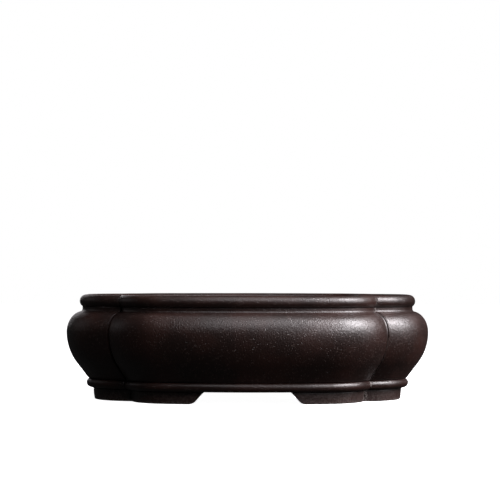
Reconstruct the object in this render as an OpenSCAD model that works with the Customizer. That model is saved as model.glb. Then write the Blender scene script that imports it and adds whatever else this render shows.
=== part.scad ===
// Slab-built rectangular bonsai pot with four creased corners.
// Four rounded wall panels stand on a floor slab and meet in mitred corners.
// Lip, bead and foot are strips of the same clay, luted on panel by panel.
// Origin: on the table under the middle of the pot. X runs along the width, -Y is the front, Z is up.

/* [Plan] */
// Overall width across the two end walls, at the belly
pot_width = 260; // [230:1:320]
// Overall depth across the front and back walls, at the belly
pot_depth = 200; // [190:1:244]
// Plan radius of each wall's rounded ends, at the belly
wall_end_radius = 54; // [52:1:58]
// Distance that a wall's rounded end stands forward of its neighbour's, which sets the crease
corner_step = 28; // [22:1:32]

/* [Wall] */
// Thickness of the clay slab that the walls are cut from
wall_thickness = 6; // [4.5:0.5:7]
// Height of the widest line above the bottom edge of the wall
belly_rise = 32.4; // [29:0.1:40]
// Radius of the belly below its widest line
lower_belly_radius = 36; // [30:0.5:38]
// Distance that the bottom edge of the wall stands in from the belly
base_inset = 15.4; // [13:0.1:16.5]
// Height of the elliptic shoulder above the widest line
shoulder_rise = 15.3; // [14:0.1:20]
// Distance that the full elliptic shoulder would draw in
shoulder_inset = 12; // [11:0.1:14]
// Share of the quarter ellipse that the shoulder takes up, in degrees
shoulder_sweep = 80; // [74:1:82]
// Radius of the hollow under the lip
cove_radius = 1.8; // [1.2:0.1:2.6]
// Height of the straight neck between the hollow and the lip
neck_height = 1.6; // [0.4:0.1:4]

/* [Lip] */
// Radius of the rolled lip
lip_radius = 4.7; // [3.5:0.1:5.5]
// Distance that the lip stands out past the neck
lip_overhang = 1.9; // [1:0.1:3]
// Width of the flat under the lip, where it is luted to the wall
lip_seat_width = 5.2; // [3:0.1:6]

/* [Floor] */
// Thickness of the floor slab and height of the bead around it
floor_thickness = 6.8; // [5:0.1:9]
// Distance that the bead's outermost line stands in from the belly
bead_inset = 14.4; // [12:0.1:15.5]
// Width of the bead strip, from its outermost line to the edge of the floor slab
bead_width = 7; // [5:0.1:8]
// Diameter of each drain hole
drain_diameter = 24; // [12:1:36]
// Distance between the two drain holes
drain_spacing = 90; // [60:1:110]
// Size of the chamfer round each drain hole
drain_chamfer = 0.8; // [0.3:0.1:1.5]

/* [Feet] */
// Height of the feet
foot_height = 8.5; // [6:0.5:14]
// Distance that the top of a foot stands in from the belly
foot_inset = 17.4; // [16.5:0.1:19]
// Distance that a foot draws in from its top to the table
foot_taper = 0.8; // [0:0.1:2]
// Thickness of the feet
foot_thickness = 8; // [5:0.5:9]
// Width of the front and back gaps between the feet, at the top
long_gap_width = 60; // [40:1:76]
// Width of the end gaps between the feet, at the top
short_gap_width = 20; // [12:1:28]
// Distance that each side of a gap runs out on its way down
gap_run = 7.5; // [4:0.5:12]
// Radius at the top corners of a gap
gap_top_radius = 4; // [1:0.1:4.4]
// Radius at the toe of a foot beside a gap
toe_radius = 4; // [1:0.1:4.4]

/* [Inside seams] */
// Length of the floor coil's two legs, along the floor and up the wall
floor_coil_leg = 6; // [3:0.5:7]
// Thickness of the strip that covers each corner seam inside
seam_strip_thickness = 2.4; // [1.5:0.1:4]
// Width of that strip
seam_strip_width = 11; // [6:0.5:14]

/* [Hidden] */
$fn = 96;
// Segments in a full turn of the wide arc in the middle of a long wall
bow_segments = 480;
// Segments in each rounded stretch of a profile
arc_steps = 10;
clay = "#3b2a26";
dark_clay = "#2f211e";

// The middle of the front and back walls bows out in one wide arc that runs on smoothly from the round
// ends. Half its angle belongs to a right-angled triangle of 7, 24 and 25. bow_extra is how much wider it
// is than the round ends, to a tenth of a millimetre.
bow_sine = 7 / 25;
bow_cosine = 24 / 25;
bow_angle = asin(bow_sine);
short_centre = pot_width / 2 - wall_end_radius;
bow_extra = round(10 * (short_centre - corner_step) / bow_sine) / 10;
long_bow = bow_extra * (1 - bow_cosine);

// Plan layout of a long wall (front, back) and a short wall (left, right), each seen with its outside
// towards +Y: half the distance between the round ends' centres, distance of those centres from the
// middle of the pot, distance behind it at which the two mitre planes cross, and half the angle of the
// bow in the middle of the wall.
long_half = bow_extra * bow_sine;
long_centre = pot_depth / 2 - long_bow - wall_end_radius;
short_half = long_centre - short_centre + long_half;
mitre_cross = short_centre - long_centre;
long_layout = [long_half, long_centre, mitre_cross, bow_angle];
short_layout = [short_half, short_centre, -mitre_cross, 0];
plan_reach = pot_width + pot_depth;

// Angles: how far half a bow is drawn past the middle of its wall, and how far a round end is drawn round,
// which is past the crease. The cut at the mitre takes off the rest.
bow_overlap = 2;
end_sweep = 120;

// Middle of a corner's two arc centres, and half the distance between them
corner_x = (long_half + short_centre) / 2;
corner_y = (long_centre + short_half) / 2;
corner_half_gap = corner_step / sqrt(2);

// Heights above the table
floor_z = foot_height + floor_thickness;
belly_z = floor_z + belly_rise;

// Rounded stretches and corners as lists of points
function arc(centre, radius, from, to) =
    [for (i = [0 : arc_steps])
        let (a = from + (to - from) * i / arc_steps)
        centre + radius * [cos(a), sin(a)]];

function unit(v) = v / norm(v);

function round_corner(before, corner, after, radius) =
    let (u = unit(before - corner),
         v = unit(after - corner),
         half_angle = acos(u * v) / 2,
         centre = corner + unit(u + v) * radius / sin(half_angle),
         start = corner + u * radius / tan(half_angle) - centre,
         end = corner + v * radius / tan(half_angle) - centre,
         a = atan2(start[1], start[0]),
         turn = atan2(end[1], end[0]) - a)
    arc(centre, radius, a, a + (turn > 180 ? turn - 360 : turn < -180 ? turn + 360 : turn));

// Wall profile. Each point is [distance outside the belly's widest line, height above the table].
belly_centre = [-lower_belly_radius, belly_z];
wall_toe = [-base_inset, floor_z];
toe_offset = wall_toe - belly_centre;
flank_angle = atan2(toe_offset[1], toe_offset[0]) + acos(lower_belly_radius / norm(toe_offset));

function shoulder_point(a) =
    [-shoulder_inset * (1 - cos(a)), belly_z + shoulder_rise * sin(a)];

function shoulder_normal(a) =
    unit([shoulder_rise * cos(a), shoulder_inset * sin(a)]);

shoulder_end = shoulder_point(shoulder_sweep);
shoulder_end_normal = shoulder_normal(shoulder_sweep);
cove_centre = shoulder_end + cove_radius * shoulder_end_normal;
cove_start = 180 + atan2(shoulder_end_normal[1], shoulder_end_normal[0]);
neck_x = cove_centre[0] - cove_radius;
wall_top_z = cove_centre[1] + neck_height;
shoulder_angles = [for (i = [1 : arc_steps]) shoulder_sweep * i / arc_steps];

wall_outside = concat(
    [wall_toe],
    arc(belly_centre, lower_belly_radius, flank_angle, 0),
    [for (a = shoulder_angles) shoulder_point(a)],
    arc(cove_centre, cove_radius, cove_start, 180),
    [[neck_x, wall_top_z]]);

inner_belly_radius = lower_belly_radius - wall_thickness;
inner_flank = belly_centre + inner_belly_radius * [cos(flank_angle), sin(flank_angle)];
wall_heel = [inner_flank[0] + (inner_flank[1] - floor_z) * tan(flank_angle), floor_z];
wall_inside_belly = concat(
    arc(belly_centre, inner_belly_radius, flank_angle, 0),
    [for (a = shoulder_angles) shoulder_point(a) - wall_thickness * shoulder_normal(a)]);
wall_inside = concat(
    [wall_heel],
    wall_inside_belly,
    [[neck_x - wall_thickness, shoulder_end[1]],
     [neck_x - wall_thickness, wall_top_z]]);

function reversed(points) = [for (i = [len(points) - 1 : -1 : 0]) points[i]];

// Profiles of the strips, in the same terms
lip_drop = sqrt(pow(lip_radius, 2) - pow(lip_seat_width / 2, 2));
lip_centre = [neck_x + lip_overhang - lip_radius, wall_top_z + lip_drop];
lip_edge_angle = asin(lip_drop / lip_radius);

bead_radius = floor_thickness / 2;
bead_centre = [-bead_inset - bead_radius, foot_height + bead_radius];
slab_edge = -bead_inset - bead_width;

foot_toe_x = -foot_inset - foot_taper;

wall_slope = unit(inner_flank - wall_heel);
coil_points = [wall_heel, wall_heel - [floor_coil_leg, 0], wall_heel + floor_coil_leg * wall_slope];

// A flat profile moved from belly terms to distance from the end arcs' centres
module profile(points) {
    translate([wall_end_radius, 0]) polygon(points);
}

module wall_profile() {
    profile(concat(wall_outside, reversed(wall_inside)));
}

module lip_profile() {
    profile(arc(lip_centre, lip_radius, -lip_edge_angle, 180 + lip_edge_angle));
}

module bead_profile() {
    profile(concat(
        [[slab_edge, foot_height]],
        arc(bead_centre, bead_radius, -90, 90),
        [[slab_edge, floor_z]]));
}

module foot_profile() {
    profile([[-foot_inset, foot_height],
             [foot_toe_x, 0],
             [foot_toe_x - foot_thickness, 0],
             [-foot_inset - foot_thickness, foot_height]]);
}

module floor_coil_profile() {
    profile(coil_points);
}

// Plan sector that belongs to one wall, between its two mitre planes, or with left_reach 0 its right half
module mitre_sector(layout, left_reach = plan_reach) {
    polygon([[0, -layout[2]],
             [plan_reach, plan_reach - layout[2]],
             [-left_reach, plan_reach - layout[2]]]);
}

// Turned about the centre of the wide arc, so that the line where the round end at the right passes into
// the bowed middle lies along +Y
module in_bow_frame(layout) {
    translate([0, layout[1] - bow_extra * bow_cosine, 0]) rotate([0, 0, -bow_angle]) children();
}

// A profile run round the right end of a wall, from +Y to past the crease
module round_end() {
    rotate([0, 0, 90]) mirror([0, 1, 0]) rotate_extrude(angle = end_sweep) children();
}

// A profile run along the right half of a bowed wall, and a little past its middle
module along_bowed_half(layout) {
    in_bow_frame(layout) {
        rotate([0, 0, 90])
            rotate_extrude(angle = bow_angle + bow_overlap, $fn = bow_segments)
                translate([bow_extra, 0]) children();
        translate([0, bow_extra, 0]) round_end() children();
    }
}

// A profile run along the right half of a straight wall
module along_straight_half(layout) {
    translate([0, layout[1], 0]) rotate([90, 0, 90]) linear_extrude(layout[0]) children();
    translate([layout[0], layout[1], 0]) round_end() children();
}

// A profile run along the right half of one wall, mitred at the crease
module along_half(layout) {
    intersection() {
        union() {
            if (layout[3] > 0)
                along_bowed_half(layout) children();
            else
                along_straight_half(layout) children();
        }
        linear_extrude(plan_reach) mitre_sector(layout, left_reach = 0);
    }
}

// A profile run along one wall: straight or bowed in the middle, round at both ends, mitred at the creases
module along_wall(layout) {
    for (end = [0, 1]) mirror([end, 0, 0]) along_half(layout) children();
}

// Each wall is drawn with its outside towards +Y, then turned to its side of the pot
module to_front() { rotate([0, 0, 180]) children(); }
module to_back() { children(); }
module to_left() { rotate([0, 0, 90]) children(); }
module to_right() { rotate([0, 0, -90]) children(); }

// Floor slab: the whole plan inside the bead, with two chamfered drain holes
module quarter_disc(radius) {
    intersection() {
        circle(radius);
        square(radius);
    }
}

module slab_bowed_half(layout, reach) {
    bow_reach = bow_extra + reach;
    in_bow_frame(layout) {
        intersection() {
            circle(bow_reach, $fn = bow_segments);
            polygon([[0, 0], [0, 2 * bow_reach], 2 * bow_reach * [-tan(bow_angle + bow_overlap), 1]]);
        }
        translate([0, bow_extra]) quarter_disc(reach);
    }
}

module slab_straight_half(layout, reach) {
    square([layout[0], layout[1] + reach]);
    translate([layout[0], layout[1]]) quarter_disc(reach);
}

module slab_sector(layout) {
    reach = wall_end_radius + slab_edge;
    intersection() {
        mitre_sector(layout);
        union() {
            translate([-plan_reach, -plan_reach]) square([2 * plan_reach, plan_reach + layout[1]]);
            for (end = [0, 1])
                mirror([end, 0])
                    if (layout[3] > 0)
                        slab_bowed_half(layout, reach);
                    else
                        slab_straight_half(layout, reach);
        }
    }
}

module drain_hole() {
    radius = drain_diameter / 2;
    cylinder(h = floor_z + floor_thickness, r = radius);
    for (face = [foot_height, floor_z])
        translate([0, 0, face])
            rotate_extrude()
                polygon([[0, -drain_chamfer], [radius, -drain_chamfer], [radius + drain_chamfer, 0],
                         [radius, drain_chamfer], [0, drain_chamfer]]);
}

module floor_slab() {
    color(clay)
        difference() {
            translate([0, 0, foot_height])
                linear_extrude(floor_thickness)
                    union() {
                        slab_sector(long_layout);
                        rotate(180) slab_sector(long_layout);
                        rotate(90) slab_sector(short_layout);
                        rotate(-90) slab_sector(short_layout);
                    }
            for (side = [-1, 1]) translate([side * drain_spacing / 2, 0, 0]) drain_hole();
        }
}

// Walls, lips and beads
module long_wall() { color(clay) along_wall(long_layout) wall_profile(); }
module short_wall() { color(clay) along_wall(short_layout) wall_profile(); }
module long_lip() { color(clay) along_wall(long_layout) lip_profile(); }
module short_lip() { color(clay) along_wall(short_layout) lip_profile(); }
module long_bead() { color(clay) along_wall(long_layout) bead_profile(); }
module short_bead() { color(clay) along_wall(short_layout) bead_profile(); }

// Feet: a strip round each wall's end, cut off at the gap in the middle of that side
module gap_outline(top_width) {
    top = [top_width / 2, foot_height];
    toe = [top_width / 2 + gap_run, 0];
    half = concat(
        round_corner([0, foot_height], top, toe, gap_top_radius),
        round_corner(top, toe, toe + [toe_radius * 2, 0], toe_radius));
    polygon(concat(half, reversed([for (p = half) [-p[0], p[1]]])));
}

module foot_half(layout, gap_width) {
    color(dark_clay)
        difference() {
            along_half(layout) foot_profile();
            rotate([90, 0, 180]) linear_extrude(plan_reach) gap_outline(gap_width);
        }
}

module long_foot() { foot_half(long_layout, long_gap_width); }
module short_foot() { foot_half(short_layout, short_gap_width); }

// Inside seams: a coil in the angle of wall and floor, and a strip over each corner's mitre
module long_floor_coil() { color(dark_clay) along_wall(long_layout) floor_coil_profile(); }
module short_floor_coil() { color(dark_clay) along_wall(short_layout) floor_coil_profile(); }

// Distance of the crease from the corner's middle, for a surface a given distance outside the belly
function crease_reach(offset) =
    sqrt(pow(wall_end_radius + offset, 2) - pow(corner_half_gap, 2));

// The space inside a wall's round end at the right, as high as the belly and as far as the mitre
module end_inside(layout) {
    middle_x = -wall_end_radius / 2;
    top_z = wall_inside_belly[len(wall_inside_belly) - 1][1];
    intersection() {
        translate([layout[0], layout[1], 0])
            rotate_extrude($fn = bow_segments)
                profile(concat([[middle_x, floor_z], wall_heel], wall_inside_belly, [[middle_x, top_z]]));
        linear_extrude(plan_reach) mitre_sector(layout);
    }
}

module seam_strip_blank() {
    low_z = coil_points[2][1];
    ridge = concat(
        [[crease_reach(coil_points[2][0]), low_z]],
        [for (p = wall_inside_belly) [crease_reach(p[0]), p[1]]]);
    face = [for (p = ridge) p - [seam_strip_thickness, 0]];
    back = [for (p = ridge) p + [seam_strip_width / 2, 0]];
    translate([corner_x, corner_y, 0])
        rotate([90, 0, 45])
            linear_extrude(seam_strip_width, center = true)
                polygon(concat(face, reversed(back)));
}

module seam_strip() {
    color(dark_clay) {
        intersection() {
            seam_strip_blank();
            to_back() end_inside(long_layout);
        }
        intersection() {
            seam_strip_blank();
            to_right() mirror([1, 0, 0]) end_inside(short_layout);
        }
    }
}

floor_slab();
to_front() long_wall();  // front_wall
to_back() long_wall();  // back_wall
to_left() short_wall();  // left_wall
to_right() short_wall();  // right_wall
to_front() long_lip();  // front_lip
to_back() long_lip();  // back_lip
to_left() short_lip();  // left_lip
to_right() short_lip();  // right_lip
to_front() long_bead();  // front_bead
to_back() long_bead();  // back_bead
to_left() short_bead();  // left_bead
to_right() short_bead();  // right_bead
to_front() long_foot();  // front_left_foot
mirror([1, 0, 0]) to_front() long_foot();  // front_right_foot
mirror([1, 0, 0]) to_back() long_foot();  // back_left_foot
to_back() long_foot();  // back_right_foot
mirror([0, 1, 0]) to_left() short_foot();  // front_left_foot_return
to_right() short_foot();  // front_right_foot_return
to_left() short_foot();  // back_left_foot_return
mirror([0, 1, 0]) to_right() short_foot();  // back_right_foot_return
to_front() long_floor_coil();  // front_floor_coil
to_back() long_floor_coil();  // back_floor_coil
to_left() short_floor_coil();  // left_floor_coil
to_right() short_floor_coil();  // right_floor_coil
mirror([1, 0, 0]) mirror([0, 1, 0]) seam_strip();  // front_left_seam_strip
mirror([0, 1, 0]) seam_strip();  // front_right_seam_strip
mirror([1, 0, 0]) seam_strip();  // back_left_seam_strip
seam_strip();  // back_right_seam_strip
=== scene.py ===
import math

import bmesh
import bpy
import numpy as np
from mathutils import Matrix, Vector
from mathutils.geometry import tessellate_polygon


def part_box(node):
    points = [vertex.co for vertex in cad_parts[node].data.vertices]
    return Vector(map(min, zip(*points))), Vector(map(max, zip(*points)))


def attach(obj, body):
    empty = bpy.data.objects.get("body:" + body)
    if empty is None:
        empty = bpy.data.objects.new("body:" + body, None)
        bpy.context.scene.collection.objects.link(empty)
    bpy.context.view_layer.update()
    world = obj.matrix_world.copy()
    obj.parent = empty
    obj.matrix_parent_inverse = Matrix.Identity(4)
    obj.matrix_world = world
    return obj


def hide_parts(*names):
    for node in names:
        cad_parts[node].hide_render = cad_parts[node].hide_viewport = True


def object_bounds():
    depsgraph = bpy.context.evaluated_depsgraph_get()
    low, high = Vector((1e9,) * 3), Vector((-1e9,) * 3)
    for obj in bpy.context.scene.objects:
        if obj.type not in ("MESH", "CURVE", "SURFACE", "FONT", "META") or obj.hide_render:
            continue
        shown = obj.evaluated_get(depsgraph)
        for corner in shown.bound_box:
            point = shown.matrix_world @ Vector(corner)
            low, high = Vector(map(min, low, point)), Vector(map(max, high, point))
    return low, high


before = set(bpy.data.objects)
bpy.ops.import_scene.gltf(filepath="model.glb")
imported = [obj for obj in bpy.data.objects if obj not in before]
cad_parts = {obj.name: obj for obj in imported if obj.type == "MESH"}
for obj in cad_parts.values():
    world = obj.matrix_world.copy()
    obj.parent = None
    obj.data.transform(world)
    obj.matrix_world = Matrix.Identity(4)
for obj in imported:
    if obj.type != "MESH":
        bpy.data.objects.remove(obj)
cad_low, cad_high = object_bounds()

BODY = "root"
MM = 0.001
TINY = 1e-6

# Sizes that the frame gives, in metres
wall_low, wall_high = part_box("front_wall")
lip_low, lip_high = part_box("front_lip")
bead_low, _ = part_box("front_bead")
foot_low, foot_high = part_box("front_left_foot")
slab_low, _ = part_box("floor_slab")
POT_WIDTH = cad_high.x - cad_low.x
POT_DEPTH = cad_high.y - cad_low.y
FRONT = cad_low.y
FLOOR_Z = wall_low.z
WALL_TOP_Z = wall_high.z
LIP_TOP_Z = lip_high.z
LIP_INSET = lip_low.y - FRONT
BEAD_INSET = bead_low.y - FRONT
FOOT_HEIGHT = foot_high.z
FOOT_INSET = foot_low.y - FRONT
SLAB_INSET = slab_low.y - FRONT

# Plan: radius of the walls' rounded ends at the belly, the wide arc in the middle of a long wall, whose
# radius is larger by the bow extra, and the step that makes each corner crease. The bow extra is rounded
# to 0.1 mm, and the step follows it. A short wall is straight in the middle, drawn as a very wide arc.
WALL_END_RADIUS = 54 * MM
BOW_SINE = 0.28
WANTED_STEP = 28 * MM
SHORT_BOW_EXTRA = 4.0
SHORT_CENTRE = POT_WIDTH / 2 - WALL_END_RADIUS
LONG_BOW_EXTRA = round((SHORT_CENTRE - WANTED_STEP) / BOW_SINE, 4)
LONG_HALF = LONG_BOW_EXTRA * BOW_SINE
LONG_CENTRE = POT_DEPTH / 2 - LONG_BOW_EXTRA * (1 - math.sqrt(1 - BOW_SINE**2)) - WALL_END_RADIUS
CORNER_STEP = SHORT_CENTRE - LONG_HALF
SHORT_HALF = LONG_CENTRE - CORNER_STEP

# Wall: slab thickness, then the belly from its bottom edge up to the hollow under the lip
WALL_THICKNESS = 6 * MM
BASE_INSET = 15.4 * MM
BELLY_RISE = 32.4 * MM
LOWER_BELLY_RADIUS = 36 * MM
SHOULDER_RISE = 15.3 * MM
SHOULDER_INSET = 12 * MM
SHOULDER_SWEEP = 80
COVE_RADIUS = 1.8 * MM
BELLY_Z = FLOOR_Z + BELLY_RISE

# Strips: rolled lip, foot with its gap, floor coil and the strip over each inside corner, with the powers
# that shape its crown and edges, and the share of it that thumbing leaves
LIP_RADIUS = 4.7 * MM
FOOT_TAPER = 0.8 * MM
FOOT_THICKNESS = 8 * MM
FOOT_EDGE_RADIUS = 0.9 * MM
LONG_GAP_HALF = 30 * MM
SHORT_GAP_HALF = 10 * MM
GAP_RUN = 7.5 * MM
GAP_TOP_RADIUS = 4 * MM
TOE_RADIUS = 7 * MM
FLOOR_COIL_LEG = 6 * MM
FLOOR_COIL_HOLLOW = 0.7
SEAM_STRIP_THICKNESS = 2.4 * MM
SEAM_STRIP_WIDTH = 11 * MM
SEAM_STRIP_TAPER = 5 * MM
SEAM_STRIP_FULLNESS = 0.7
SEAM_STRIP_CROWN_POWER = 0.8
SEAM_STRIP_EDGE_POWER = 6.0
THUMB_RANGE = (0.3, 0.7)
THUMBED_SHARE = (0.66, 0.98)

# Seams: slit between two pieces, and how far a wall's end is rounded at a closed and at an open seam.
# Strips are rounded by a share of that. An open seam has a cut with a burr beside it, lower on the lip.
# Hand-made unevenness fades out towards each seam.
SEAM_GAP = 0.06 * MM
LONG_SOFTNESS = (5.4 * MM, 1.2 * MM)
SHORT_SOFTNESS = (0.2 * MM, 0.2 * MM)
STRIP_SOFTNESS = 0.4
BURR_HEIGHT = 0.42 * MM
LIP_BURR = 0.5
CUT_DEPTH = 1.0 * MM
WOBBLE_FADE = 8 * MM

# Pale dry clay: how thick crumbs lie along an open seam, how much further they spread on a foot, the share
# left at a closed seam, and how rubbed the feet and their soles are
WALL_DUST = 0.1
UNDER_LIP_DUST = 0.9
ON_BEAD_DUST = 0.15
LIP_DUST = 0.8
BEAD_DUST = 0.7
FOOT_DUST_SPREAD = 3.6
CLOSED_SEAM_DUST = 0.05
FOOT_RUBBED = 0.07
SOLE_RUBBED = 0.4
SOLE_HEIGHT = 1.6 * MM

# Mesh density: columns along the middle of a side and along each rounded end, then a foot's and a
# seam strip's steps. Edges sharper than the angle are shaded as edges.
MIDDLE_COLUMNS = 40
MIDDLE_SHARE = 0.3
END_COLUMNS = 60
END_CROWDING = 1.8
FOOT_STEPS = (70, 14, 18)
SEAM_STRIP_ROWS = 49
SEAM_STRIP_COLUMNS = 25
SHARP_EDGE = math.radians(38)


# Plan of one side, seen with its outside towards +Y
class Side:
    def __init__(self, name, half_length, arc_centre, bow_extra, softness, turn, open_end):
        self.name = name
        self.arc_centre = arc_centre
        self.bow_extra = bow_extra
        self.bow_angle = math.asin(half_length / bow_extra)
        self.turn = math.radians(turn)
        self.open_end = open_end
        self.closed_softness, self.open_softness = softness

    def to_seam(self, offset):
        """Length along the side from its middle to the seam, at this offset from the belly."""
        radius = WALL_END_RADIUS + offset
        sweep = math.pi / 4 + math.asin(CORNER_STEP / (math.sqrt(2) * radius))
        return self.bow_extra * self.bow_angle + radius * sweep


LONG_PLAN = (LONG_HALF, LONG_CENTRE, LONG_BOW_EXTRA, LONG_SOFTNESS)
SHORT_PLAN = (SHORT_HALF, SHORT_CENTRE, SHORT_BOW_EXTRA, SHORT_SOFTNESS)
SIDES = [
    Side("front", *LONG_PLAN, 180, -1.0),
    Side("back", *LONG_PLAN, 0, -1.0),
    Side("left", *SHORT_PLAN, 90, 1.0),
    Side("right", *SHORT_PLAN, -90, 1.0),
]
SIDE = {side.name: side for side in SIDES}


# Node trees
NUMBER = "NodeSocketFloat"


class Nodes:
    """Adds nodes to one tree. An input given as a socket is linked, and any other value is set."""

    def __init__(self, tree):
        self.tree = tree

    def feed(self, socket, value):
        if isinstance(value, bpy.types.NodeSocket):
            self.tree.links.new(value, socket)
        else:
            socket.default_value = value

    def add(self, kind, inputs=None, **settings):
        node = self.tree.nodes.new(kind)
        for name, value in settings.items():
            setattr(node, name, value)
        for key, value in (inputs or {}).items():
            self.feed(node.inputs[key], value)
        return node

    def math(self, operation, *values):
        return self.add("ShaderNodeMath", dict(enumerate(values)), operation=operation).outputs[0]

    def ramp(self, value, low, high, to_low=0.0, to_high=1.0, interpolation="SMOOTHSTEP"):
        inputs = {"Value": value, "From Min": low, "From Max": high, "To Min": to_low, "To Max": to_high}
        return self.add("ShaderNodeMapRange", inputs, interpolation_type=interpolation).outputs[0]

    def noise(self, place, size, detail, roughness=0.5):
        """Smooth noise from 0 to 1, with lumps of this size."""
        scale = self.math("DIVIDE", 1.0, size)
        inputs = {"Vector": place, "Scale": scale, "Detail": detail, "Roughness": roughness}
        return self.add("ShaderNodeTexNoise", inputs).outputs[0]

    def mix(self, factor, first, second):
        """A number between two others."""
        return self.add("ShaderNodeMix", {0: factor, 2: first, 3: second}, data_type="FLOAT").outputs[0]

    def mix_colour(self, factor, first, second):
        node = self.add("ShaderNodeMix", data_type="RGBA")
        colours = [socket for socket in node.inputs if socket.type == "RGBA"]
        self.feed(node.inputs["Factor"], factor)
        self.feed(colours[0], first)
        self.feed(colours[1], second)
        return [socket for socket in node.outputs if socket.type == "RGBA"][0]

    def stored(self, name):
        """The number stored on each point under this name."""
        return self.add("GeometryNodeInputNamedAttribute", {"Name": name}, data_type="FLOAT").outputs[0]

    def store(self, shape, name, value):
        """The shape with a number stored on each point."""
        inputs = {"Geometry": shape, "Name": name, "Value": value}
        node = self.add("GeometryNodeStoreNamedAttribute", inputs, data_type="FLOAT", domain="POINT")
        return node.outputs[0]

    def place_smooth(self, shape, position):
        """The shape with its points moved there and its faces shaded smooth."""
        placed = self.add("GeometryNodeSetPosition", {"Geometry": shape, "Position": position})
        inputs = {"Geometry": placed.outputs[0], "Shade Smooth": True}
        return self.add("GeometryNodeSetShadeSmooth", inputs, domain="FACE").outputs[0]

    def dress(self, shape, material, out):
        """Ends a shaping tree with real geometry in its material."""
        real = self.add("GeometryNodeRealizeInstances", {"Geometry": shape})
        inputs = {"Geometry": real.outputs[0], "Material": material}
        self.feed(out.inputs["Geometry"], self.add("GeometryNodeSetMaterial", inputs).outputs[0])


def new_group(name, kind, inputs, outputs):
    """A node group with named sockets, and its input and output nodes."""
    tree = bpy.data.node_groups.new(name, kind)
    for socket, socket_type, value in inputs:
        made = tree.interface.new_socket(socket, in_out="INPUT", socket_type=socket_type)
        if value is not None:
            made.default_value = value
    for socket, socket_type in outputs:
        tree.interface.new_socket(socket, in_out="OUTPUT", socket_type=socket_type)
    nodes = Nodes(tree)
    return tree, nodes, nodes.add("NodeGroupInput").outputs, nodes.add("NodeGroupOutput")


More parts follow.
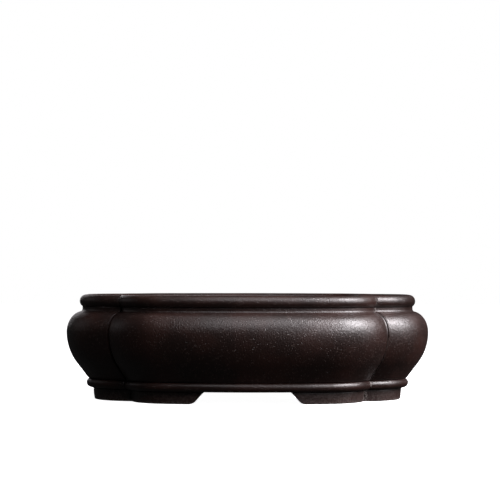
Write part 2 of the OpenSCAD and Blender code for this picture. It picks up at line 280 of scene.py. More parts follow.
# Bending tree: a flat strip, drawn as X share along the side, Y offset from the belly and Z height,
# is bent round the side's rounded ends and mitred at the two corner creases. A half strip runs from the
# edge of the gap between two feet to one crease only.
def bending_tree():
    tree, nodes, given, out = new_group(
        "bend_round_side",
        "GeometryNodeTree",
        [
            ("Geometry", "NodeSocketGeometry", None),
            ("Arc Centre", NUMBER, LONG_CENTRE),
            ("Bow Extra", NUMBER, LONG_BOW_EXTRA),
            ("Bow Angle", NUMBER, math.asin(BOW_SINE)),
            ("End Radius", NUMBER, WALL_END_RADIUS),
            ("Corner Step", NUMBER, CORNER_STEP),
            ("Turn", NUMBER, 0.0),
            ("Half Strip", NUMBER, 0.0),
            ("Seam Gap", NUMBER, 0.0),
            ("Closed Softness", NUMBER, 0.0),
            ("Open Softness", NUMBER, 0.0),
            ("Open End", NUMBER, 0.0),
            ("Burr", NUMBER, 0.0),
            ("Burr Distance", NUMBER, 0.85 * MM),
            ("Cut", NUMBER, 0.0),
            ("Cut Width", NUMBER, 0.6 * MM),
            ("Dust Spread", NUMBER, 1.0),
            ("Wobble", NUMBER, 0.0),
            ("Wobble Size", NUMBER, 30 * MM),
            ("Seed", NUMBER, 0.0),
            ("Material", "NodeSocketMaterial", None),
        ],
        [("Geometry", "NodeSocketGeometry")],
    )
    flat = nodes.add("ShaderNodeSeparateXYZ", {0: nodes.add("GeometryNodeInputPosition").outputs[0]})
    share, offset, height = flat.outputs
    outward = nodes.add("GeometryNodeInputNamedAttribute", {"Name": "outward"}, data_type="FLOAT_VECTOR")
    _, out_offset, out_height = nodes.add("ShaderNodeSeparateXYZ", {0: outward.outputs[0]}).outputs
    gap_edge = nodes.stored("gap_edge")
    which_end = nodes.math("SIGN", nodes.math("MULTIPLY_ADD", given["Half Strip"], 2.0, share))
    is_open = nodes.math("COMPARE", which_end, given["Open End"], 0.5)
    burred = nodes.math("MULTIPLY", nodes.stored("burr"), is_open)

    bow_extra, bow_angle = given["Bow Extra"], given["Bow Angle"]
    bow_sine = nodes.math("SINE", bow_angle)
    half_length = nodes.math("MULTIPLY", bow_extra, bow_sine)
    is_half = nodes.math("ABSOLUTE", given["Half Strip"])
    share_size = nodes.math("ABSOLUTE", share)
    lost_step = nodes.math("MULTIPLY", given["Seam Gap"], math.sqrt(2))
    step = nodes.math("SUBTRACT", given["Corner Step"], lost_step)
    middle_share = nodes.ramp(share_size, 0.0, MIDDLE_SHARE, interpolation="LINEAR")
    round_share = nodes.ramp(share_size, MIDDLE_SHARE, 1.0, interpolation="LINEAR")

    def middle(radius):
        """Plan radius of the wide arc in the middle of the side, and half its length."""
        wide = nodes.math("ADD", radius, bow_extra)
        return wide, nodes.math("MULTIPLY", wide, bow_angle)

    def along(radius):
        """Distance of a point from the middle of its side, and of the seam, at this plan radius."""
        wide, middle_length = middle(radius)
        step_sine = nodes.math("DIVIDE", step, nodes.math("MULTIPLY", radius, math.sqrt(2)))
        sweep = nodes.math("ADD", nodes.math("ARCSINE", step_sine), math.pi / 4)
        round_length = nodes.math("MULTIPLY", radius, nodes.math("SUBTRACT", sweep, bow_angle))
        seam_at = nodes.math("ADD", round_length, middle_length)
        in_middle = nodes.math("MULTIPLY", middle_length, middle_share)
        whole = nodes.math("MULTIPLY_ADD", round_length, round_share, in_middle)
        middle_x = nodes.math("MINIMUM", gap_edge, nodes.math("MULTIPLY", wide, bow_sine))
        gap_angle = nodes.math("ARCSINE", nodes.math("DIVIDE", middle_x, wide))
        past_centre = nodes.math("MAXIMUM", nodes.math("SUBTRACT", gap_edge, half_length), 0.0)
        bent = nodes.math("ARCSINE", nodes.math("DIVIDE", past_centre, radius))
        bent = nodes.math("MAXIMUM", nodes.math("SUBTRACT", bent, bow_angle), 0.0)
        start = nodes.math("MULTIPLY_ADD", bent, radius, nodes.math("MULTIPLY", wide, gap_angle))
        half = nodes.math("MULTIPLY_ADD", nodes.math("SUBTRACT", seam_at, start), share_size, start)
        return nodes.mix(is_half, whole, half), seam_at

    def place(radius, distance, at_height):
        """Point on the side at this plan radius, distance from the middle and height."""
        wide, middle_length = middle(radius)
        bowed = nodes.math("DIVIDE", nodes.math("MINIMUM", distance, middle_length), wide)
        past_middle = nodes.math("MAXIMUM", nodes.math("SUBTRACT", distance, middle_length), 0.0)
        turned = nodes.math("ADD", bowed, nodes.math("DIVIDE", past_middle, radius))
        x = nodes.math("MULTIPLY", bow_extra, nodes.math("SINE", bowed))
        x = nodes.math("MULTIPLY_ADD", radius, nodes.math("SINE", turned), x)
        rise = nodes.math("SUBTRACT", nodes.math("COSINE", bowed), nodes.math("COSINE", bow_angle))
        y = nodes.math("MULTIPLY_ADD", bow_extra, rise, given["Arc Centre"])
        y = nodes.math("MULTIPLY_ADD", radius, nodes.math("COSINE", turned), y)
        signed_x = nodes.math("MULTIPLY", x, which_end)
        return nodes.add("ShaderNodeCombineXYZ", {0: signed_x, 1: y, 2: at_height}).outputs[0]

    first_radius = nodes.math("ADD", given["End Radius"], offset)
    distance, seam_at = along(first_radius)
    to_seam = nodes.math("SUBTRACT", seam_at, distance)

    softness = nodes.mix(is_open, given["Closed Softness"], given["Open Softness"])
    softness = nodes.math("MAXIMUM", nodes.math("MULTIPLY", softness, nodes.stored("seam")), TINY)
    near = nodes.math("SUBTRACT", 1.0, nodes.math("MINIMUM", nodes.math("DIVIDE", to_seam, softness), 1.0))
    rounded = nodes.math("SQRT", nodes.math("SUBTRACT", 1.0, nodes.math("MULTIPLY", near, near)))
    inset = nodes.math("MULTIPLY", softness, nodes.math("SUBTRACT", 1.0, rounded))

    past_burr = nodes.math("SUBTRACT", to_seam, given["Burr Distance"])
    past_burr = nodes.math("DIVIDE", past_burr, given["Burr Distance"])
    fallen = nodes.math("MINIMUM", nodes.math("MULTIPLY", past_burr, past_burr), 1.0)
    hump = nodes.math("SUBTRACT", 1.0, fallen)
    burr = nodes.math("MULTIPLY", given["Burr"], burred)
    raised = nodes.math("MULTIPLY", nodes.math("MULTIPLY", hump, hump), burr)
    in_cut = nodes.math("MULTIPLY", nodes.ramp(to_seam, 0.0, given["Cut Width"], 1.0, 0.0), burred)
    cut = nodes.math("MULTIPLY", in_cut, given["Cut"])

    seed_shift = nodes.add("ShaderNodeCombineXYZ", {0: given["Seed"], 1: given["Seed"], 2: 0.0}).outputs[0]
    where = place(first_radius, distance, height)
    noise_at = nodes.add("ShaderNodeVectorMath", {0: where, 1: seed_shift}, operation="ADD").outputs[0]
    noise = nodes.noise(noise_at, given["Wobble Size"], 2.0)
    loose = nodes.math("SUBTRACT", 1.0, nodes.stored("still"))
    fade = nodes.math("MULTIPLY", nodes.ramp(to_seam, 0.0, WOBBLE_FADE), loose)
    wobble = nodes.math("MULTIPLY", nodes.math("MULTIPLY", noise, fade), given["Wobble"])

    sink = nodes.math("SUBTRACT", nodes.math("ADD", nodes.math("ADD", inset, cut), wobble), raised)
    sunk_offset = nodes.math("SUBTRACT", offset, nodes.math("MULTIPLY", out_offset, sink))
    sunk_height = nodes.math("SUBTRACT", height, nodes.math("MULTIPLY", out_height, sink))
    radius = nodes.math("ADD", given["End Radius"], sunk_offset)
    point = place(radius, along(radius)[0], sunk_height)
    turn_inputs = {"Vector": point, "Angle": given["Turn"]}
    turned = nodes.add("ShaderNodeVectorRotate", turn_inputs, rotation_type="Z_AXIS").outputs[0]

    dust_distance = nodes.math("DIVIDE", to_seam, given["Dust Spread"])
    marked = nodes.store(given["Geometry"], "seam_distance", dust_distance)
    open_dust = nodes.math("MULTIPLY_ADD", is_open, 1 - CLOSED_SEAM_DUST, CLOSED_SEAM_DUST)
    marked = nodes.store(marked, "seam_dust", nodes.math("MULTIPLY", nodes.stored("dust"), open_dust))
    smooth = nodes.place_smooth(marked, turned)
    angle = nodes.add("GeometryNodeInputMeshEdgeAngle").outputs["Unsigned Angle"]
    edge_inputs = {
        "Geometry": smooth,
        "Selection": nodes.math("GREATER_THAN", angle, SHARP_EDGE),
        "Shade Smooth": False,
    }
    creased = nodes.add("GeometryNodeSetShadeSmooth", edge_inputs, domain="EDGE").outputs[0]
    nodes.dress(creased, given["Material"], out)
    return tree


# Corner tree: a flat strip, drawn as X share across, Y from 0 at its back to 1 at its face and Z height,
# is laid over the ridge where two walls meet on the inside, and thumbed down towards its edges.
def corner_tree():
    tree, nodes, given, out = new_group(
        "lay_over_corner",
        "GeometryNodeTree",
        [
            ("Geometry", "NodeSocketGeometry", None),
            ("Corner X", NUMBER, SHORT_CENTRE - CORNER_STEP / 2),
            ("Corner Y", NUMBER, LONG_CENTRE - CORNER_STEP / 2),
            ("Mirror X", NUMBER, 1.0),
            ("Mirror Y", NUMBER, 1.0),
            ("End Radius", NUMBER, WALL_END_RADIUS),
            ("Half Gap", NUMBER, CORNER_STEP / math.sqrt(2)),
            ("Width", NUMBER, SEAM_STRIP_WIDTH),
            ("Thickness", NUMBER, SEAM_STRIP_THICKNESS),
            ("Back Depth", NUMBER, 0.6 * MM),
            ("Edge Depth", NUMBER, 0.15 * MM),
            ("Ridge Softness", NUMBER, 2.0 * MM),
            ("Thumb Spacing", NUMBER, 9 * MM),
            ("Seed", NUMBER, 0.0),
            ("Material", "NodeSocketMaterial", None),
        ],
        [("Geometry", "NodeSocketGeometry")],
    )
    flat = nodes.add("ShaderNodeSeparateXYZ", {0: nodes.add("GeometryNodeInputPosition").outputs[0]})
    across, face, height = flat.outputs
    sideways = nodes.math("MULTIPLY", across, nodes.math("DIVIDE", given["Width"], 2.0))
    softness = nodes.math("MULTIPLY", given["Ridge Softness"], face)
    soft_squared = nodes.math("POWER", softness, 2.0)
    ridge = nodes.math("SQRT", nodes.math("MULTIPLY_ADD", sideways, sideways, soft_squared))
    radius = nodes.math("ADD", given["End Radius"], nodes.stored("wall_offset"))
    from_centre = nodes.math("SUBTRACT", given["Half Gap"], ridge)
    centre_squared = nodes.math("POWER", from_centre, 2.0)
    face_squared = nodes.math("SUBTRACT", nodes.math("POWER", radius, 2.0), centre_squared)
    wall_face = nodes.math("SQRT", face_squared)

    seed_height = nodes.math("ADD", height, given["Seed"])
    thumb_at = nodes.add("ShaderNodeCombineXYZ", {0: sideways, 1: given["Seed"], 2: seed_height}).outputs[0]
    thumbs = nodes.noise(thumb_at, given["Thumb Spacing"], 1.0)
    thumbed = nodes.ramp(thumbs, *THUMB_RANGE, *THUMBED_SHARE)
    crown = nodes.math("SUBTRACT", 1.0, nodes.math("MULTIPLY", across, across))
    fullness = nodes.math("MULTIPLY", nodes.math("POWER", crown, SEAM_STRIP_CROWN_POWER), thumbed)
    tapered = nodes.math("MULTIPLY", fullness, nodes.stored("taper"))
    hump = nodes.math("MULTIPLY", tapered, given["Thickness"])
    at_edge = nodes.math("POWER", nodes.math("ABSOLUTE", across), SEAM_STRIP_EDGE_POWER)
    edge = nodes.math("MULTIPLY", at_edge, given["Edge Depth"])
    face_out = nodes.math("MULTIPLY", nodes.math("SUBTRACT", edge, hump), face)
    back_in = nodes.math("MULTIPLY", nodes.math("SUBTRACT", 1.0, face), given["Back Depth"])
    outwards = nodes.math("ADD", nodes.math("ADD", wall_face, face_out), back_in)

    half = math.sqrt(0.5)
    run_x = nodes.math("MULTIPLY", nodes.math("SUBTRACT", outwards, sideways), half)
    run_y = nodes.math("MULTIPLY", nodes.math("ADD", outwards, sideways), half)
    x = nodes.math("MULTIPLY", nodes.math("ADD", given["Corner X"], run_x), given["Mirror X"])
    y = nodes.math("MULTIPLY", nodes.math("ADD", given["Corner Y"], run_y), given["Mirror Y"])
    point = nodes.add("ShaderNodeCombineXYZ", {0: x, 1: y, 2: height}).outputs[0]
    nodes.dress(nodes.place_smooth(given["Geometry"], point), given["Material"], out)
    return tree


# Sections, as closed loops of [offset from the belly, height], anticlockwise
def arc(centre, radius, start, end, steps):
    """Points on an arc between two angles in degrees, both ends included."""
    angles = np.radians(np.linspace(start, end, steps + 1))
    return np.stack([centre[0] + radius * np.cos(angles), centre[1] + radius * np.sin(angles)], axis=1)


def line(start, end, steps):
    """Points on a line, both ends included."""
    return np.linspace(start, end, steps + 1)


def loop(*stretches):
    """Stretches of points joined into one closed loop, without doubled points."""
    points = np.concatenate(stretches)
    gaps = np.linalg.norm(points - np.roll(points, 1, axis=0), axis=1)
    return points[gaps > TINY]


def share_between(values, start, end):
    """0 at the start, 1 at the end, rising evenly between them."""
    return np.clip((values - start) / (end - start), 0, 1)


def flank_angle():
    """Angle on the belly circle, in degrees, where the straight flank leaves it."""
    across, up = LOWER_BELLY_RADIUS - BASE_INSET, -BELLY_RISE
    return math.degrees(math.atan2(up, across) + math.acos(LOWER_BELLY_RADIUS / math.hypot(across, up)))


def shoulder(sink):
    """Points up the elliptic shoulder, sunk below the outside by this much, and its last normal."""
    angles = np.radians(np.linspace(0, SHOULDER_SWEEP, 23))
    offsets = SHOULDER_INSET * (np.cos(angles) - 1)
    heights = BELLY_Z + SHOULDER_RISE * np.sin(angles)
    normals = np.stack([SHOULDER_RISE * np.cos(angles), SHOULDER_INSET * np.sin(angles)], axis=1)
    normals /= np.linalg.norm(normals, axis=1, keepdims=True)
    return np.stack([offsets, heights], axis=1) - sink * normals, normals[-1]


def wall_heel():
    """Inside bottom edge of the wall, and the point where the inside flank meets the inside belly."""
    angle = math.radians(flank_angle())
    inner_radius = LOWER_BELLY_RADIUS - WALL_THICKNESS
    top_offset = inner_radius * math.cos(angle) - LOWER_BELLY_RADIUS
    top_height = BELLY_Z + inner_radius * math.sin(angle)
    heel_offset = top_offset + (top_height - FLOOR_Z) * math.tan(angle)
    return np.array([heel_offset, FLOOR_Z]), np.array([top_offset, top_height])


def flank_direction():
    """Upward direction of the inside flank."""
    heel, top = wall_heel()
    return (top - heel) / np.linalg.norm(top - heel)


def inner_wall():
    """Inside of the wall, from the heel up to the end of the shoulder."""
    heel, _ = wall_heel()
    belly = arc((-LOWER_BELLY_RADIUS, BELLY_Z), LOWER_BELLY_RADIUS - WALL_THICKNESS, flank_angle(), 0, 14)
    return np.concatenate([line(heel, belly[0], 10), belly[1:], shoulder(WALL_THICKNESS)[0][1:]])


def wall_section():
    toe = np.array([-BASE_INSET, FLOOR_Z])
    outer_arc = arc((-LOWER_BELLY_RADIUS, BELLY_Z), LOWER_BELLY_RADIUS, flank_angle(), 0, 22)
    outer_shoulder, normal = shoulder(0.0)
    cove_centre = outer_shoulder[-1] + COVE_RADIUS * normal
    cove_start = 180 + math.degrees(math.atan2(normal[1], normal[0]))
    cove = arc(cove_centre, COVE_RADIUS, cove_start, 180, 12)
    neck_out = np.array([cove_centre[0] - COVE_RADIUS, WALL_TOP_Z])
    neck_in = neck_out - (WALL_THICKNESS, 0)
    neck_foot = np.array([neck_in[0], outer_shoulder[-1][1]])
    inside = inner_wall()
    return loop(
        line(toe, outer_arc[0], 12),
        outer_arc,
        outer_shoulder,
        cove,
        line(neck_out, neck_in, 6),
        line(neck_foot, inside[-1], 5),
        inside[::-1],
        line(inside[0], toe, 6),
    )


def lip_section():
    centre = (-LIP_INSET - LIP_RADIUS, LIP_TOP_Z - LIP_RADIUS)
    edge = math.degrees(math.asin((centre[1] - WALL_TOP_Z) / LIP_RADIUS))
    roll = arc(centre, LIP_RADIUS, -edge, 180 + edge, 44)
    return loop(roll, line(roll[-1], roll[0], 6))


def bead_section():
    radius = (FLOOR_Z - FOOT_HEIGHT) / 2
    centre = (-BEAD_INSET - radius, FOOT_HEIGHT + radius)
    roll = arc(centre, radius, -90, 90, 30)
    low_edge = (-SLAB_INSET, FOOT_HEIGHT)
    high_edge = (-SLAB_INSET, FLOOR_Z)
    return loop(
        roll,
        line(roll[-1], high_edge, 3),
        line(high_edge, low_edge, 5),
        line(low_edge, roll[0], 3),
    )


def floor_coil_section():
    """Fillet in the angle of floor and wall, with a hollow, finger-smoothed face."""
    heel, _ = wall_heel()
    floor_edge = heel - (FLOOR_COIL_LEG, 0)
    wall_edge = heel + FLOOR_COIL_LEG * flank_direction()
    pull = FLOOR_COIL_HOLLOW * heel + (1 - FLOOR_COIL_HOLLOW) / 2 * (floor_edge + wall_edge)
    down = np.linspace(0, 1, 13)[:, None]
    face = (1 - down) ** 2 * wall_edge + 2 * down * (1 - down) * pull + down**2 * floor_edge
    return loop(line(floor_edge, heel, 5), line(heel, wall_edge, 5), face)


# Flat strips
def section_normals(section):
    along = np.roll(section, -1, axis=0) - np.roll(section, 1, axis=0)
    normals = np.stack([along[:, 1], -along[:, 0]], axis=1)
    return normals / np.linalg.norm(normals, axis=1, keepdims=True)


def put_attribute(mesh, name, kind, values):
    attribute = mesh.attributes.new(name, kind, "POINT")
    field = "vector" if kind == "FLOAT_VECTOR" else "value"
    attribute.data.foreach_set(field, np.asarray(values, np.float32).ravel())


def strip_shares():
    """Columns along a side: even in the middle, crowded towards the two seams."""
    ends = 1 - (1 - np.linspace(0, 1, END_COLUMNS + 1)[1:]) ** END_CROWDING
    right = MIDDLE_SHARE + (1 - MIDDLE_SHARE) * ends
    middle = np.linspace(-MIDDLE_SHARE, MIDDLE_SHARE, MIDDLE_COLUMNS + 1)
    return np.concatenate([-right[::-1], middle, right])


def flat_strip(name, section, **values):
    """Closed strip with this section. Each value is one number, or one for each point of the section."""
    shares = strip_shares()
    rows, columns = len(section), len(shares)
    points = np.empty((columns, rows, 3))
    points[:, :, 0] = shares[:, None]
    points[:, :, 1:] = section[None]
    faces = []
    for c in range(columns - 1):
        for r in range(rows):
            n = (r + 1) % rows
            faces.append((c * rows + r, (c + 1) * rows + r, (c + 1) * rows + n, c * rows + n))
    last = (columns - 1) * rows
    for a, b, c in tessellate_polygon([[Vector((*point, 0.0)) for point in section]]):
        faces.append((a, b, c))
        faces.append((last + c, last + b, last + a))
    mesh = bpy.data.meshes.new(name)
    mesh.from_pydata(points.reshape(-1, 3), [], faces)
    outward = np.zeros((columns, rows, 3))
    outward[:, :, 1:] = section_normals(section)[None]
    put_attribute(mesh, "outward", "FLOAT_VECTOR", outward)
    for value_name, value in values.items():
        put_attribute(mesh, value_name, "FLOAT", np.tile(np.broadcast_to(value, rows), columns))
    return mesh


def foot_end(height, top_half):
    """Distance of a foot's end from the middle of its side: fillet, slope, then rounded toe."""
    slope = math.hypot(GAP_RUN, FOOT_HEIGHT)
    edge = top_half + GAP_RUN * (1 - height / FOOT_HEIGHT)
    toe_x = top_half + (TOE_RADIUS * slope + (FOOT_HEIGHT - TOE_RADIUS) * GAP_RUN) / FOOT_HEIGHT
    toe = toe_x - np.sqrt(np.maximum(TOE_RADIUS**2 - (TOE_RADIUS - height) ** 2, 0))
    fillet_x = top_half - GAP_TOP_RADIUS * (slope - GAP_RUN) / FOOT_HEIGHT
    up = height - FOOT_HEIGHT + GAP_TOP_RADIUS
    fillet = fillet_x + np.sqrt(np.maximum(GAP_TOP_RADIUS**2 - up**2, 0))
    edge = np.where(height < TOE_RADIUS * (1 - GAP_RUN / slope), toe, edge)
    return np.where(height > FOOT_HEIGHT - GAP_TOP_RADIUS * (1 - GAP_RUN / slope), fillet, edge)


def block_surface(counts):
    """Unit cube's surface as grids that share their edges, crowded towards the edges."""
    steps = [0.5 - 0.5 * np.cos(np.linspace(0, math.pi, n + 1)) for n in counts]
    made = bmesh.new()
    for fixed in range(3):
        free = [axis for axis in range(3) if axis != fixed]
        for level in (0.0, 1.0):
            grid = []
            for a in steps[free[0]]:
                row = []
                for b in steps[free[1]]:
                    place = [0.0, 0.0, 0.0]
                    place[fixed], place[free[0]], place[free[1]] = level, a, b
                    row.append(made.verts.new(place))
                grid.append(row)
            for i in range(len(grid) - 1):
                for j in range(len(grid[0]) - 1):
                    made.faces.new((grid[i][j], grid[i + 1][j], grid[i + 1][j + 1], grid[i][j + 1]))
    bmesh.ops.remove_doubles(made, verts=made.verts, dist=TINY)
    bmesh.ops.recalc_face_normals(made, faces=made.faces)
    return made


def flat_foot(name, length, top_half):
    """Rounded block for one foot: X share from gap to seam, Y offset, Z height."""
    made = block_surface(FOOT_STEPS)
    size = np.array([length, FOOT_THICKNESS, FOOT_HEIGHT])
    box = np.array([v.co for v in made.verts]) * size
    core = np.clip(box, FOOT_EDGE_RADIUS, size - FOOT_EDGE_RADIUS)
    away = box - core
    reach = np.linalg.norm(away, axis=1, keepdims=True)
    box = core + away * (FOOT_EDGE_RADIUS / np.maximum(reach, FOOT_EDGE_RADIUS))
    share = box[:, 0] / length
    height = box[:, 2]
    outer = -FOOT_INSET - FOOT_TAPER * (1 - height / FOOT_HEIGHT)
    offset = outer - FOOT_THICKNESS + box[:, 1]
    for vertex, place in zip(made.verts, np.stack([share, offset, height], axis=1)):
        vertex.co = place
    mesh = bpy.data.meshes.new(name)
    made.to_mesh(mesh)
    made.free()
    rubbed = FOOT_RUBBED + SOLE_RUBBED * share_between(height, SOLE_HEIGHT, 0)
    put_attribute(mesh, "gap_edge", "FLOAT", foot_end(height, top_half))
    put_attribute(mesh, "dust", "FLOAT", np.ones(len(box)))
    put_attribute(mesh, "rubbed", "FLOAT", rubbed)
    return mesh


def flat_seam_strip(name, low, high):
    """Flat strip for an inside corner, between two heights, with the wall's offset at each height."""
    inside = inner_wall()
    heights = np.linspace(low, high, SEAM_STRIP_ROWS)
    offsets = np.interp(heights, inside[:, 1], inside[:, 0])
    shares = np.linspace(-1, 1, SEAM_STRIP_COLUMNS)
    cross = [(s, 1.0) for s in shares] + [(s, 0.0) for s in shares[::-1]]
    across = len(cross)
    points = [(s, depth, z) for z in heights for s, depth in cross]
    faces = []
    for r in range(len(heights) - 1):
        for c in range(across):
            n = (c + 1) % across
            faces.append((r * across + c, r * across + n, (r + 1) * across + n, (r + 1) * across + c))
    last = len(points) - across
    for c in range(len(shares) - 1):
        end = (c, c + 1, across - 2 - c, across - 1 - c)
        faces.append(end)
        faces.append(tuple(last + corner for corner in reversed(end)))
    mesh = bpy.data.meshes.new(name)
    mesh.from_pydata(points, [], faces)
    from_end = share_between(np.minimum(heights - low, high - heights), 0, SEAM_STRIP_TAPER)
    taper = np.sin(from_end * math.pi / 2) ** SEAM_STRIP_FULLNESS
    put_attribute(mesh, "wall_offset", "FLOAT", np.repeat(offsets, across))
    put_attribute(mesh, "taper", "FLOAT", np.repeat(taper, across))
    put_attribute(mesh, "raw", "FLOAT", np.ones(len(points)))
    return mesh


# Pieces
def settle(piece, node):
    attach(piece, BODY)
    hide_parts(node)


def face_outward(mesh):
    shape = bmesh.new()
    shape.from_mesh(mesh)
    bmesh.ops.recalc_face_normals(shape, faces=shape.faces)
    if shape.calc_volume(signed=True) < 0:
        bmesh.ops.reverse_faces(shape, faces=shape.faces)
    shape.to_mesh(mesh)
    shape.free()


def shape_by(tree, name, mesh, **values):
    """The flat mesh shaped by a node tree with these inputs, as a plain mesh at the origin."""
    piece = bpy.data.objects.new(name, mesh)
    bpy.context.scene.collection.objects.link(piece)
    modifier = piece.modifiers.new("shape", "NODES")
    modifier.node_group = tree
    for socket in tree.interface.items_tree:
        if socket.name in values:
            modifier[socket.identifier] = values[socket.name]
    depsgraph = bpy.context.evaluated_depsgraph_get()
    made = bpy.data.meshes.new_from_object(piece.evaluated_get(depsgraph))
    piece.modifiers.clear()
    piece.data = made
    face_outward(made)
    return piece


def bend(name, mesh, side, **values):
    """The flat strip bent round its side."""
    plan = {
        "Arc Centre": side.arc_centre,
        "Bow Extra": side.bow_extra,
        "Bow Angle": side.bow_angle,
        "Turn": side.turn,
        "Open End": side.open_end,
        "Closed Softness": side.closed_softness,
        "Open Softness": side.open_softness,
        "Seam Gap": SEAM_GAP,
    }
    return shape_by(bend_tree, name, mesh, **plan, **values)


# Materials: how strongly sand and pits colour the clay, how tone and dust change its roughness, the relief
# of sand and pits, and the ranges of noise that each pattern uses
SAND_STRENGTH = 0.8
PIT_STRENGTH = 0.7
PIT_COLOUR = (0.004, 0.0025, 0.002, 1)
DUST_COLOUR = (0.34, 0.3, 0.28, 1)
TONE_ROUGHNESS = 0.14
DUST_ROUGHNESS = 0.3
SAND_HEIGHT = 0.3
PIT_DEPTH = 0.7
GRAIN_RIM = (0.2, 0.5)
DRIFT_RANGE = (0.38, 0.66)
DRIFT_AMOUNT = (0.25, 1.6)
CRUMB_RANGE = (0.42, 0.62)
TONE_RANGE = (0.35, 0.7)


def grain_group():
    """Sandy clay: height for bump, light sand grains, dark pits and a slow change of tone."""
    tree, nodes, given, out = new_group(
        "sandy_clay",
        "ShaderNodeTree",
        [
            ("Grain Size", NUMBER, 0.9 * MM),
            ("Stroke Stretch", NUMBER, 0.55),
            ("Sand Size", NUMBER, 0.9 * MM),
            ("Sand Share", NUMBER, 0.2),
            ("Drift Size", NUMBER, 9 * MM),
            ("Pit Share", NUMBER, 0.03),
            ("Tone Size", NUMBER, 26 * MM),
        ],
        [("Height", NUMBER), ("Sand", NUMBER), ("Pits", NUMBER), ("Tone", NUMBER)],
    )
    place = nodes.add("ShaderNodeTexCoord").outputs["Object"]
    stretch = nodes.add("ShaderNodeCombineXYZ", {0: 1.0, 1: 1.0, 2: given["Stroke Stretch"]}).outputs[0]
    stroked = nodes.add("ShaderNodeVectorMath", {0: place, 1: stretch}, operation="MULTIPLY").outputs[0]
    fine = nodes.noise(stroked, given["Grain Size"], 2.0, roughness=0.6)
    sand_scale = nodes.math("DIVIDE", 1.0, given["Sand Size"])
    cells = nodes.add("ShaderNodeTexVoronoi", {"Vector": place, "Scale": sand_scale}, feature="F1")
    pick = nodes.add("ShaderNodeSeparateColor", {0: cells.outputs["Color"]}).outputs[0]
    round_grain = nodes.ramp(cells.outputs["Distance"], *GRAIN_RIM, 1.0, 0.0)
    drift = nodes.ramp(nodes.noise(place, given["Drift Size"], 2.0), *DRIFT_RANGE, *DRIFT_AMOUNT)
    sand_share = nodes.math("MULTIPLY", given["Sand Share"], drift)
    is_sand = nodes.math("GREATER_THAN", pick, nodes.math("SUBTRACT", 1.0, sand_share))
    sand = nodes.math("MULTIPLY", round_grain, is_sand)
    is_pit = nodes.math("LESS_THAN", pick, given["Pit Share"])
    pits = nodes.math("MULTIPLY", round_grain, is_pit)
    tone = nodes.noise(place, given["Tone Size"], 4.0)
    height = nodes.math("MULTIPLY_ADD", sand, SAND_HEIGHT, fine)
    height = nodes.math("MULTIPLY_ADD", pits, -PIT_DEPTH, height)
    for name, socket in (("Height", height), ("Sand", sand), ("Pits", pits), ("Tone", tone)):
        nodes.feed(out.inputs[name], socket)
    return tree


def seam_dust_group():
    """Pale crumbs of dry clay along a seam, from the stored distance to it."""
    tree, nodes, given, out = new_group(
        "seam_dust",
        "ShaderNodeTree",
        [("Reach", NUMBER, 1.0 * MM), ("Crumb Size", NUMBER, 1.1 * MM)],
        [("Dust", NUMBER)],
    )
    place = nodes.add("ShaderNodeTexCoord").outputs["Object"]
    distance = nodes.add("ShaderNodeAttribute", attribute_name="seam_distance").outputs["Fac"]
    amount = nodes.add("ShaderNodeAttribute", attribute_name="seam_dust").outputs["Fac"]
    rubbed = nodes.add("ShaderNodeAttribute", attribute_name="rubbed").outputs["Fac"]
    near = nodes.ramp(distance, 0.0, given["Reach"], 1.0, 0.0)
    crumbs = nodes.ramp(nodes.noise(place, given["Crumb Size"], 3.0), *CRUMB_RANGE)
    on_seam = nodes.math("MULTIPLY", near, amount)
    dust = nodes.math("MULTIPLY", nodes.math("MAXIMUM", on_seam, rubbed), crumbs)
    nodes.feed(out.inputs["Dust"], dust)
    return tree


def clay_material(name, dark, warm, sand_colour, roughness, raw_roughness, bump):
    material = bpy.data.materials.new(name)
    material.use_nodes = True
    nodes = Nodes(material.node_tree)
    shader = material.node_tree.nodes["Principled BSDF"]
    clay = nodes.add("ShaderNodeGroup", node_tree=grain).outputs
    dust = nodes.add("ShaderNodeGroup", node_tree=seam_dust).outputs["Dust"]
    raw = nodes.add("ShaderNodeAttribute", attribute_name="raw").outputs["Fac"]
    colour = nodes.mix_colour(nodes.ramp(clay["Tone"], *TONE_RANGE), dark, warm)
    colour = nodes.mix_colour(nodes.math("MULTIPLY", clay["Sand"], SAND_STRENGTH), colour, sand_colour)
    colour = nodes.mix_colour(nodes.math("MULTIPLY", clay["Pits"], PIT_STRENGTH), colour, PIT_COLOUR)
    colour = nodes.mix_colour(dust, colour, DUST_COLOUR)
    nodes.feed(shader.inputs["Base Color"], colour)
    lowest, raw_lowest = roughness - TONE_ROUGHNESS / 2, raw_roughness - TONE_ROUGHNESS / 2
    toned = nodes.math("MULTIPLY_ADD", raw, raw_lowest - lowest, lowest)
    toned = nodes.math("MULTIPLY_ADD", clay["Tone"], TONE_ROUGHNESS, toned)
    nodes.feed(shader.inputs["Roughness"], nodes.math("MULTIPLY_ADD", dust, DUST_ROUGHNESS, toned))
    relief = nodes.add("ShaderNodeBump", {"Height": clay["Height"], "Strength": 1.0, "Distance": bump})
    nodes.feed(shader.inputs["Normal"], relief.outputs[0])
    return material


bend_tree = bending_tree()
lay_tree = corner_tree()
grain = grain_group()
seam_dust = seam_dust_group()
LOOK = {
    "burnished_clay": clay_material(
        "burnished_clay_look",
        dark=(0.0085, 0.0038, 0.003, 1),
        warm=(0.0155, 0.0052, 0.0036, 1),
        sand_colour=(0.05, 0.034, 0.03, 1),
        roughness=0.36,
        raw_roughness=0.6,
        bump=0.21 * MM,
    ),
    "raw_clay": clay_material(
        "raw_clay_look",
        dark=(0.024, 0.0145, 0.012, 1),
        warm=(0.036, 0.02, 0.016, 1),
        sand_colour=(0.085, 0.065, 0.055, 1),
        roughness=0.6,
        raw_roughness=0.6,
        bump=0.3 * MM,
    ),
}

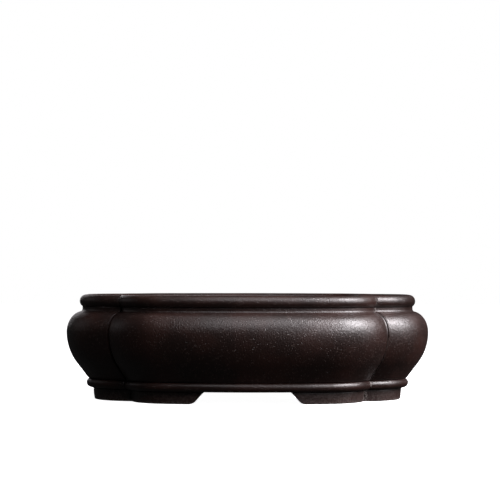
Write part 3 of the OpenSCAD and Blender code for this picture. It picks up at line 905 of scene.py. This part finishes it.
# Where each section is burred at an open seam, rough inside, dusty at a seam, or kept still at a thin edge
wall = wall_section()
wall_z = wall[:, 1]
is_inside = np.arange(len(wall)) > np.argmax(wall_z)
upper_wall = share_between(wall_z, BELLY_Z - 5 * MM, BELLY_Z)
under_lip = share_between(wall_z, WALL_TOP_Z - 3.9 * MM, WALL_TOP_Z - 2.4 * MM)
on_bead = share_between(wall_z, FLOOR_Z + 3.9 * MM, FLOOR_Z + 0.9 * MM)
wall_burr = upper_wall * (1 - under_lip) * ~is_inside
wall_dust = (WALL_DUST + UNDER_LIP_DUST * under_lip + ON_BEAD_DUST * on_bead) * ~is_inside
lip = lip_section()
lip_front = lip[:, 0] > -LIP_INSET - LIP_RADIUS
lip_face = share_between(lip[:, 1], LIP_TOP_Z - 0.6 * MM, LIP_TOP_Z - 2.1 * MM) * lip_front
coil = floor_coil_section()
flank = flank_direction()
from_wall = np.abs((coil - wall_heel()[0]) @ (flank[1], -flank[0]))
from_floor = coil[:, 1] - FLOOR_Z
coil_still = share_between(np.minimum(from_wall, from_floor), 1 * MM, 0)

# Walls, lips, beads and floor coils: section and its values, then slot, unevenness and its size
STRIPS = {
    "wall": (wall, {"seam": ~is_inside, "burr": wall_burr, "raw": is_inside, "dust": wall_dust}),
    "lip": (lip, {"seam": STRIP_SOFTNESS, "burr": LIP_BURR * lip_face, "dust": LIP_DUST * lip_face}),
    "bead": (bead_section(), {"seam": STRIP_SOFTNESS, "dust": BEAD_DUST}),
    "floor_coil": (coil, {"seam": 0.0, "raw": 1.0, "still": coil_still}),
}
FINISH = {
    "wall": ("burnished_clay", 0.25 * MM, 34 * MM),
    "lip": ("burnished_clay", 0.16 * MM, 22 * MM),
    "bead": ("burnished_clay", 0.12 * MM, 22 * MM),
    "floor_coil": ("raw_clay", 0.3 * MM, 9 * MM),
}
for part, (section, weights) in STRIPS.items():
    slot, wobble, wobble_size = FINISH[part]
    for seed, side in enumerate(SIDES):
        node = f"{side.name}_{part}"
        strip = flat_strip(f"{node}_flat", section, **weights)
        values = {
            "Burr": BURR_HEIGHT,
            "Cut": CUT_DEPTH,
            "Wobble": wobble,
            "Wobble Size": wobble_size,
            "Seed": float(seed),
            "Material": LOOK[slot],
        }
        settle(bend(f"{node}_clay", strip, side, **values), node)

# Feet: a long and a short half at each corner
for front_back, corner_y in (("front", -1), ("back", 1)):
    for left_right, corner_x in (("left", -1), ("right", 1)):
        corner = f"{front_back}_{left_right}"
        for node, side, top_half in (
            (f"{corner}_foot", SIDE[front_back], LONG_GAP_HALF),
            (f"{corner}_foot_return", SIDE[left_right], SHORT_GAP_HALF),
        ):
            along_side = corner_x * math.cos(side.turn) + corner_y * math.sin(side.turn)
            length = side.to_seam(-FOOT_INSET - FOOT_THICKNESS / 2) - top_half - GAP_RUN / 2
            foot = flat_foot(f"{node}_flat", length, top_half)
            values = {
                "Half Strip": math.copysign(1, along_side),
                "Dust Spread": FOOT_DUST_SPREAD,
                "Material": LOOK["burnished_clay"],
            }
            settle(bend(f"{node}_clay", foot, side, **values), node)

        # Clay strip over the mitre on the inside of this corner
        node = f"{corner}_seam_strip"
        low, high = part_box(node)
        strip = flat_seam_strip(f"{node}_flat", low.z, high.z)
        values = {
            "Mirror X": float(corner_x),
            "Mirror Y": float(corner_y),
            "Seed": 2.0 * corner_x + corner_y,
            "Material": LOOK["raw_clay"],
        }
        settle(shape_by(lay_tree, f"{node}_clay", strip, **values), node)

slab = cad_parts["floor_slab"]
slab.data.materials.clear()
slab.data.materials.append(LOOK["raw_clay"])

# Studio: pale floor that glows a little less near the pot, white surroundings for the camera and dim ones
# for the pot
FLOOR_SIZE = 8.0
GLOW_REACH = (0.12, 0.4)
GLOW_STRENGTH = (0.985, 1.0)
SURROUND_GLOW = 0.024
PAPER_COLOUR = (0.8, 0.8, 0.8, 1)
PAPER_ROUGHNESS = 0.9
WHITE = (1, 1, 1, 1)
bpy.ops.mesh.primitive_plane_add(size=FLOOR_SIZE, location=(0, 0, 0))
floor = bpy.context.object
floor.name = "floor"
floor.visible_glossy = False
floor.visible_diffuse = False
paper = bpy.data.materials.new("paper")
paper.use_nodes = True
paper_nodes = Nodes(paper.node_tree)
paper_place = paper_nodes.add("ShaderNodeTexCoord").outputs["Object"]
from_pot = paper_nodes.add("ShaderNodeVectorMath", {0: paper_place}, operation="LENGTH").outputs["Value"]
glow = paper_nodes.ramp(from_pot, *GLOW_REACH, *GLOW_STRENGTH)
paper_shader = paper.node_tree.nodes["Principled BSDF"]
paper_shader.inputs["Base Color"].default_value = PAPER_COLOUR
paper_shader.inputs["Roughness"].default_value = PAPER_ROUGHNESS
paper_shader.inputs["Emission Color"].default_value = WHITE
paper_nodes.feed(paper_shader.inputs["Emission Strength"], glow)
floor.data.materials.append(paper)

world = bpy.data.worlds.new("studio")
bpy.context.scene.world = world
world.use_nodes = True
world_nodes = Nodes(world.node_tree)
background = world.node_tree.nodes["Background"]
seen = world_nodes.add("ShaderNodeLightPath").outputs["Is Camera Ray"]
surround = world_nodes.math("MULTIPLY_ADD", seen, 1 - SURROUND_GLOW, SURROUND_GLOW)
world_nodes.feed(background.inputs["Strength"], surround)
background.inputs["Color"].default_value = WHITE

# Lights: name, degrees round to the right and up from straight ahead, size in metres and power in watts
LIGHT_DISTANCE = 1.3
LIGHT_COLOUR = (1.0, 0.955, 0.985)
LIGHT_AIM = Vector((0, 0, 0.045))
LIGHTS = [
    ("key", 80, 34, 0.35, 10.4),
    ("key_high", 65, 44, 0.35, 20.4),
    ("key_low", 80, 24, 0.35, 6.9),
    ("side", 50, 24, 0.35, 9.7),
    ("side_back", 95, 44, 0.35, 5.4),
    ("top", 40, 58, 0.5, 3.0),
    ("front", 0, 40, 0.5, 2.7),
    ("front_high", 0, 58, 0.5, 2.8),
    ("overhead", 0, 85, 0.5, 2.1),
    ("table_side", 80, 8, 0.5, 2.1),
    ("table_front", 30, 8, 0.5, 0.9),
    ("behind", 140, 40, 0.5, 0.25),
    ("left", -110, 20, 0.5, 0.25),
    ("left_rim", -160, 14, 0.5, 0.8),
]


def softbox(name, round_right, up, size, power):
    """Square light that shines at the middle of the pot."""
    light = bpy.data.lights.new(name, "AREA")
    light.shape = "SQUARE"
    light.size = size
    light.energy = power
    light.color = LIGHT_COLOUR
    lamp = bpy.data.objects.new(name, light)
    bpy.context.scene.collection.objects.link(lamp)
    turn, rise = math.radians(round_right), math.radians(up)
    away = Vector((math.sin(turn) * math.cos(rise), -math.cos(turn) * math.cos(rise), math.sin(rise)))
    lamp.location = LIGHT_AIM + away * LIGHT_DISTANCE
    lamp.rotation_euler = (LIGHT_AIM - lamp.location).to_track_quat("-Z", "Y").to_euler()
    lamp.visible_camera = False


for settings in LIGHTS:
    softbox(*settings)
bpy.context.scene.view_settings.view_transform = "Standard"

# Camera: focal length, horizon and middle of the picture in its pixels
PICTURE_SIZE = 500
HORIZON_ROW = 272.0
CENTRE_COLUMN = 247.55
FOCAL_PIXELS = 1929.5
ROLL = math.radians(-0.08)
SENSOR_WIDTH = 36.0
CAMERA_PLACE = (0.0, -1.4, 0.0909)
camera_data = bpy.data.cameras.new("camera")
camera = bpy.data.objects.new("camera", camera_data)
bpy.context.scene.collection.objects.link(camera)
camera_data.sensor_width = SENSOR_WIDTH
camera_data.lens = FOCAL_PIXELS * SENSOR_WIDTH / PICTURE_SIZE
camera.location = CAMERA_PLACE
pitch = math.atan((HORIZON_ROW - PICTURE_SIZE / 2) / FOCAL_PIXELS)
yaw = math.atan((CENTRE_COLUMN - PICTURE_SIZE / 2) / FOCAL_PIXELS)
camera.rotation_euler = (math.pi / 2 + pitch, ROLL, yaw)
bpy.context.scene.camera = camera
